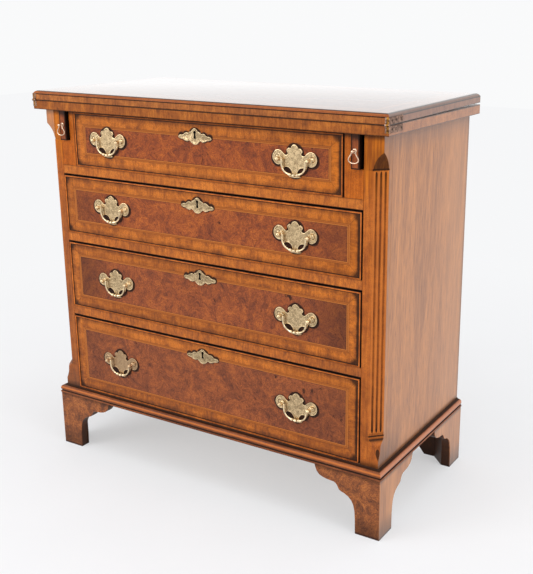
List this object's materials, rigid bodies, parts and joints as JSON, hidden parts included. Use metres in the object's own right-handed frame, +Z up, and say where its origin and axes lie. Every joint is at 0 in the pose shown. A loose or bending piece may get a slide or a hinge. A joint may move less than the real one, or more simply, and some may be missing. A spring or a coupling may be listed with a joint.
{
  "type": "chest of drawers",
  "caption": "Low chest with graduated drawers, fold-over top on pull-out lopers, fluted chamfered corners and bracket feet.",
  "frame": {"origin": "centre of the bounding box's base, on the floor", "axes": "+X to the chest's right as seen from the front, -Y to the front, +Z up"},
  "size_m": [0.7824, 0.3874, 0.7583],
  "materials": {
    "walnut": "polished figured veneer and mouldings",
    "burr_walnut": "polished burr veneer with cross-grained borders",
    "walnut_side": "polished straight-grained veneer",
    "secondary_wood": "plain planed boards",
    "brass": "aged cast brass",
    "lock_steel": "dull iron lock case"
  },
  "bodies": {
    "carcass": {"left_side": "walnut_side", "right_side": "walnut_side", "back_panel": "secondary_wood", "bottom_board": "secondary_wood", "left_corner_post": "walnut", "right_corner_post": "walnut", "rail_1": "walnut", "rail_2": "walnut", "rail_3": "walnut", "left_loper_channel": "walnut", "right_loper_channel": "walnut", "base_moulding": "walnut", "left_front_foot": "burr_walnut", "right_front_foot": "burr_walnut", "left_rear_foot": "burr_walnut", "right_rear_foot": "burr_walnut", "fixed_leaf": "walnut", "left_hinge_lower": "brass", "right_hinge_lower": "brass"},
    "folding_leaf": {"folding_leaf": "walnut", "left_hinge_upper": "brass", "right_hinge_upper": "brass"},
    "drawer_1": {"drawer_1_front": "burr_walnut", "drawer_1_box": "secondary_wood", "drawer_1_lock": "lock_steel", "drawer_1_escutcheon": "brass", "drawer_1_left_plate": "brass", "drawer_1_right_plate": "brass"},
    "drawer_1_left_bail": {"drawer_1_left_bail": "brass"},
    "drawer_1_right_bail": {"drawer_1_right_bail": "brass"},
    "drawer_2": {"drawer_2_front": "burr_walnut", "drawer_2_box": "secondary_wood", "drawer_2_lock": "lock_steel", "drawer_2_escutcheon": "brass", "drawer_2_left_plate": "brass", "drawer_2_right_plate": "brass"},
    "drawer_2_left_bail": {"drawer_2_left_bail": "brass"},
    "drawer_2_right_bail": {"drawer_2_right_bail": "brass"},
    "drawer_3": {"drawer_3_front": "burr_walnut", "drawer_3_box": "secondary_wood", "drawer_3_lock": "lock_steel", "drawer_3_escutcheon": "brass", "drawer_3_left_plate": "brass", "drawer_3_right_plate": "brass"},
    "drawer_3_left_bail": {"drawer_3_left_bail": "brass"},
    "drawer_3_right_bail": {"drawer_3_right_bail": "brass"},
    "drawer_4": {"drawer_4_front": "burr_walnut", "drawer_4_box": "secondary_wood", "drawer_4_lock": "lock_steel", "drawer_4_escutcheon": "brass", "drawer_4_left_plate": "brass", "drawer_4_right_plate": "brass"},
    "drawer_4_left_bail": {"drawer_4_left_bail": "brass"},
    "drawer_4_right_bail": {"drawer_4_right_bail": "brass"},
    "left_loper": {"left_loper": "walnut", "left_loper_ring_post": "brass"},
    "left_loper_ring": {"left_loper_ring": "brass"},
    "right_loper": {"right_loper": "walnut", "right_loper_ring_post": "brass"},
    "right_loper_ring": {"right_loper_ring": "brass"}
  },
  "joints": [
    {"name": "leaf_hinge", "type": "hinge", "parent": "carcass", "child": "folding_leaf", "pos_m": [0, -0.19142, 0.73765], "axis": [1, 0, 0], "range_deg": [0, 179.5]},
    {"name": "drawer_1_slide", "type": "slide", "parent": "carcass", "child": "drawer_1", "axis": [0, -1, 0], "range_m": [0, 0.28]},
    {"name": "drawer_1_left_bail_hinge", "type": "hinge", "parent": "drawer_1", "child": "drawer_1_left_bail", "pos_m": [-0.21475, -0.18127, 0.66735], "axis": [-1, 0, 0], "range_deg": [-2, 95]},
    {"name": "drawer_1_right_bail_hinge", "type": "hinge", "parent": "drawer_1", "child": "drawer_1_right_bail", "pos_m": [0.20675, -0.18127, 0.66735], "axis": [-1, 0, 0], "range_deg": [-2, 95]},
    {"name": "drawer_2_slide", "type": "slide", "parent": "carcass", "child": "drawer_2", "axis": [0, -1, 0], "range_m": [0, 0.28]},
    {"name": "drawer_2_left_bail_hinge", "type": "hinge", "parent": "drawer_2", "child": "drawer_2_left_bail", "pos_m": [-0.21475, -0.18127, 0.5357], "axis": [-1, 0, 0], "range_deg": [-2, 95]},
    {"name": "drawer_2_right_bail_hinge", "type": "hinge", "parent": "drawer_2", "child": "drawer_2_right_bail", "pos_m": [0.20675, -0.18127, 0.5357], "axis": [-1, 0, 0], "range_deg": [-2, 95]},
    {"name": "drawer_3_slide", "type": "slide", "parent": "carcass", "child": "drawer_3", "axis": [0, -1, 0], "range_m": [0, 0.28]},
    {"name": "drawer_3_left_bail_hinge", "type": "hinge", "parent": "drawer_3", "child": "drawer_3_left_bail", "pos_m": [-0.21475, -0.18127, 0.38625], "axis": [-1, 0, 0], "range_deg": [-2, 95]},
    {"name": "drawer_3_right_bail_hinge", "type": "hinge", "parent": "drawer_3", "child": "drawer_3_right_bail", "pos_m": [0.20675, -0.18127, 0.38625], "axis": [-1, 0, 0], "range_deg": [-2, 95]},
    {"name": "drawer_4_slide", "type": "slide", "parent": "carcass", "child": "drawer_4", "axis": [0, -1, 0], "range_m": [0, 0.28]},
    {"name": "drawer_4_left_bail_hinge", "type": "hinge", "parent": "drawer_4", "child": "drawer_4_left_bail", "pos_m": [-0.21475, -0.18127, 0.2166], "axis": [-1, 0, 0], "range_deg": [-2, 95]},
    {"name": "drawer_4_right_bail_hinge", "type": "hinge", "parent": "drawer_4", "child": "drawer_4_right_bail", "pos_m": [0.20675, -0.18127, 0.2166], "axis": [-1, 0, 0], "range_deg": [-2, 95]},
    {"name": "left_loper_slide", "type": "slide", "parent": "carcass", "child": "left_loper", "axis": [0, -1, 0], "range_m": [0, 0.28]},
    {"name": "left_loper_ring_hinge", "type": "hinge", "parent": "left_loper", "child": "left_loper_ring", "pos_m": [-0.325, -0.18727, 0.6917], "axis": [-1, 0, 0], "range_deg": [-10, 100]},
    {"name": "right_loper_slide", "type": "slide", "parent": "carcass", "child": "right_loper", "axis": [0, -1, 0], "range_m": [0, 0.28]},
    {"name": "right_loper_ring_hinge", "type": "hinge", "parent": "right_loper", "child": "right_loper_ring", "pos_m": [0.325, -0.18727, 0.6917], "axis": [-1, 0, 0], "range_deg": [-10, 100]}
  ]
}
